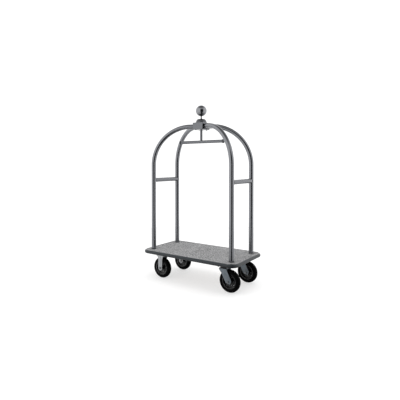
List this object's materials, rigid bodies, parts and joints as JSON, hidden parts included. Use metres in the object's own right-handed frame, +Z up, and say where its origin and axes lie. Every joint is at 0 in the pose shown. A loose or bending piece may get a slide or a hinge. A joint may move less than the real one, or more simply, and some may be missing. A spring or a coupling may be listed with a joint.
{
  "type": "hotel luggage cart",
  "caption": "Bellman's luggage cart: carpeted deck with a wrap-around bumper, arched tube cage meeting at a crown with a ball finial, garment rail, rigid and swivel casters.",
  "frame": {"origin": "on the floor, under the middle of the deck", "axes": "+X along the deck towards the swivel casters, +Y across it towards the rear side, +Z up"},
  "size_m": [1.062, 0.564, 1.709],
  "materials": {
    "tyre_rubber": "moulded, slightly glossy",
    "rim_black": "gloss black enamel",
    "rim_bolt_zinc": "blackened zinc",
    "bearing_steel": "ground",
    "tube_satin": "satin stainless tube",
    "rail_satin": "satin stainless tube",
    "crown_satin": "satin, fine grain",
    "polished_chrome": "mirror polished",
    "carpet": "grey cut pile",
    "bumper_vinyl": "dark grey vinyl, satin",
    "grommet_rubber": "matt",
    "edge_aluminium": "satin extrusion",
    "plywood": "sealed birch ply",
    "frame_paint": "black powder coat",
    "race_black": "black, greased",
    "fork_zinc": "bright zinc plate",
    "fastener_zinc": "zinc plate"
  },
  "bodies": {
    "cart_frame": {"arch_tube_left_front": "tube_satin", "arch_tube_left_rear": "tube_satin", "arch_tube_right_front": "tube_satin", "arch_tube_right_rear": "tube_satin", "bumper": "bumper_vinyl", "carpet": "carpet", "caster_bolts": "fastener_zinc", "caster_channels": "frame_paint", "caster_nuts": "fastener_zinc", "crossbar_left": "tube_satin", "crossbar_right": "tube_satin", "deck_board": "plywood", "deck_screws": "fastener_zinc", "edge_channel": "edge_aluminium", "finial_ball": "polished_chrome", "finial_neck": "polished_chrome", "foot_bolts": "fastener_zinc", "frame_bars": "frame_paint", "garment_rail": "rail_satin", "hub_bolts": "fastener_zinc", "hub_bottom_plate": "crown_satin", "hub_cap": "crown_satin", "hub_shell": "crown_satin", "king_pins": "fastener_zinc", "post_grommets": "grommet_rubber", "post_plugs": "fastener_zinc", "rail_end_caps": "rail_satin", "rail_stem": "rail_satin", "rail_stem_nut": "fastener_zinc", "rigid_axle_bolts": "fastener_zinc", "rigid_axle_nuts": "fastener_zinc", "rigid_axle_sleeves": "fastener_zinc", "rigid_fork_front": "fork_zinc", "rigid_fork_rear": "fork_zinc", "swivel_races": "race_black", "swivel_top_plates": "fork_zinc"},
    "swivel_fork_front": {"swivel_axle_bolt_front": "fastener_zinc", "swivel_axle_nut_front": "fastener_zinc", "swivel_axle_sleeve_front": "fastener_zinc", "swivel_fork_front": "fork_zinc"},
    "swivel_fork_rear": {"swivel_axle_bolt_rear": "fastener_zinc", "swivel_axle_nut_rear": "fastener_zinc", "swivel_axle_sleeve_rear": "fastener_zinc", "swivel_fork_rear": "fork_zinc"},
    "wheel_left_front": {"bearings_left_front": "bearing_steel", "rim_bolts_left_front": "rim_bolt_zinc", "rim_left_front": "rim_black", "tyre_left_front": "tyre_rubber"},
    "wheel_left_rear": {"bearings_left_rear": "bearing_steel", "rim_bolts_left_rear": "rim_bolt_zinc", "rim_left_rear": "rim_black", "tyre_left_rear": "tyre_rubber"},
    "wheel_right_front": {"bearings_right_front": "bearing_steel", "rim_bolts_right_front": "rim_bolt_zinc", "rim_right_front": "rim_black", "tyre_right_front": "tyre_rubber"},
    "wheel_right_rear": {"bearings_right_rear": "bearing_steel", "rim_bolts_right_rear": "rim_bolt_zinc", "rim_right_rear": "rim_black", "tyre_right_rear": "tyre_rubber"}
  },
  "joints": [
    {"name": "swivel_front", "type": "hinge", "parent": "cart_frame", "child": "swivel_fork_front", "pos_m": [0.366, -0.1694, 0.2173], "axis": [0, 0, 1], "continuous": true},
    {"name": "swivel_rear", "type": "hinge", "parent": "cart_frame", "child": "swivel_fork_rear", "pos_m": [0.366, 0.1694, 0.2173], "axis": [0, 0, 1], "continuous": true},
    {"name": "roll_left_front", "type": "hinge", "parent": "cart_frame", "child": "wheel_left_front", "pos_m": [-0.352, -0.1694, 0.1016], "axis": [0, 1, 0], "continuous": true},
    {"name": "roll_left_rear", "type": "hinge", "parent": "cart_frame", "child": "wheel_left_rear", "pos_m": [-0.352, 0.1694, 0.1016], "axis": [0, 1, 0], "continuous": true},
    {"name": "roll_right_front", "type": "hinge", "parent": "swivel_fork_front", "child": "wheel_right_front", "pos_m": [0.421, -0.1694, 0.1016], "axis": [0, 1, 0], "continuous": true},
    {"name": "roll_right_rear", "type": "hinge", "parent": "swivel_fork_rear", "child": "wheel_right_rear", "pos_m": [0.421, 0.1694, 0.1016], "axis": [0, 1, 0], "continuous": true}
  ]
}
